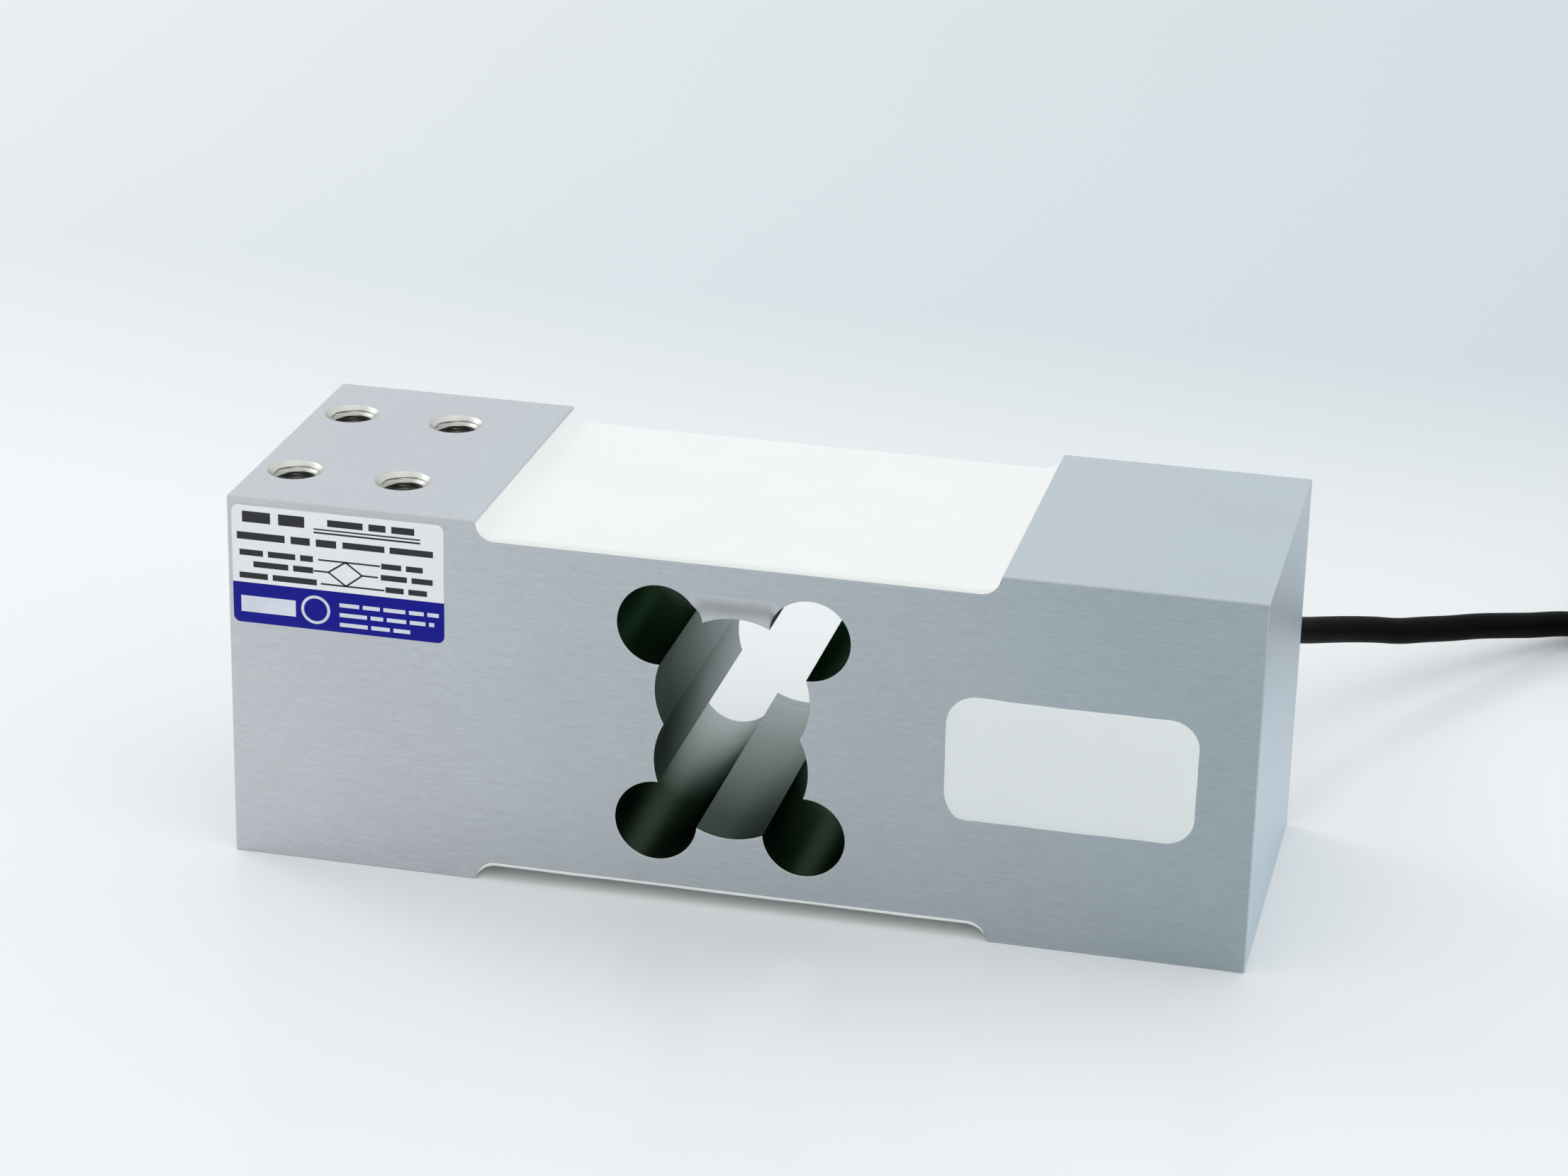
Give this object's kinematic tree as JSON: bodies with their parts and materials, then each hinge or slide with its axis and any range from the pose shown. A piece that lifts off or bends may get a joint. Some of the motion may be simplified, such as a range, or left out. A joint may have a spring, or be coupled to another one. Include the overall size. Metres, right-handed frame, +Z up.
{
  "type": "single point load cell",
  "caption": "Aluminium block load cell with a flexure opening of overlapping bores, gauged faces under white silicone, a potted pocket, tapped fixing holes and a free cable.",
  "frame": {"origin": "middle of the block's underside, on the surface it stands on", "axes": "+X along the block towards the fixed end, -Y is the labelled front, +Z up"},
  "size_m": [0.3168, 0.1976, 0.065],
  "materials": {
    "body": "satin milled and brushed",
    "foil": "polyimide film",
    "terminal": "coated strip with tinned pads",
    "enamel": "enamelled wire",
    "jumper": "insulated wire",
    "nickel": "bare foil",
    "silicone": "white silicone",
    "pad": "adhesive pad",
    "board": "solder mask",
    "resistor": "lacquered",
    "solder": "solder",
    "core_grey": "insulated cores",
    "label": "printed film",
    "bush": "moulded",
    "jacket": "cable jacket",
    "tie": "nylon",
    "sleeve": "shrink sleeve",
    "red": "core insulation",
    "black": "core insulation",
    "green": "core insulation",
    "white": "core insulation",
    "blue": "core insulation",
    "yellow": "core insulation",
    "tinned": "tinned copper"
  },
  "bodies": {
    "root": {"load_cell_body": "body", "gauge_top_load": "foil", "gauge_top_fixed": "foil", "gauge_bottom_load": "foil", "gauge_bottom_fixed": "foil", "solder_terminals_top": "terminal", "solder_terminals_bottom": "terminal", "gauge_leads_top": "enamel", "gauge_leads_bottom": "enamel", "bridge_wires_top": "jumper", "bridge_wires_bottom": "jumper", "span_resistor_foil": "nickel", "top_potting": "silicone", "bottom_potting": "silicone", "board_pad": "pad", "compensation_board": "board", "trimming_resistors": "resistor", "board_solder_joints": "solder", "pocket_cores": "core_grey", "window_potting": "silicone", "type_label": "label", "cable_bush": "bush", "signal_cable": "jacket", "cable_coil": "jacket", "cable_tie": "tie", "cable_tail": "jacket", "jacket_sleeve": "sleeve", "core_red": "red", "core_black": "black", "core_green": "green", "core_white": "white", "core_blue": "blue", "core_yellow": "yellow", "shield_drain": "tinned", "tinned_core_ends": "tinned"}
  },
  "joints": []
}
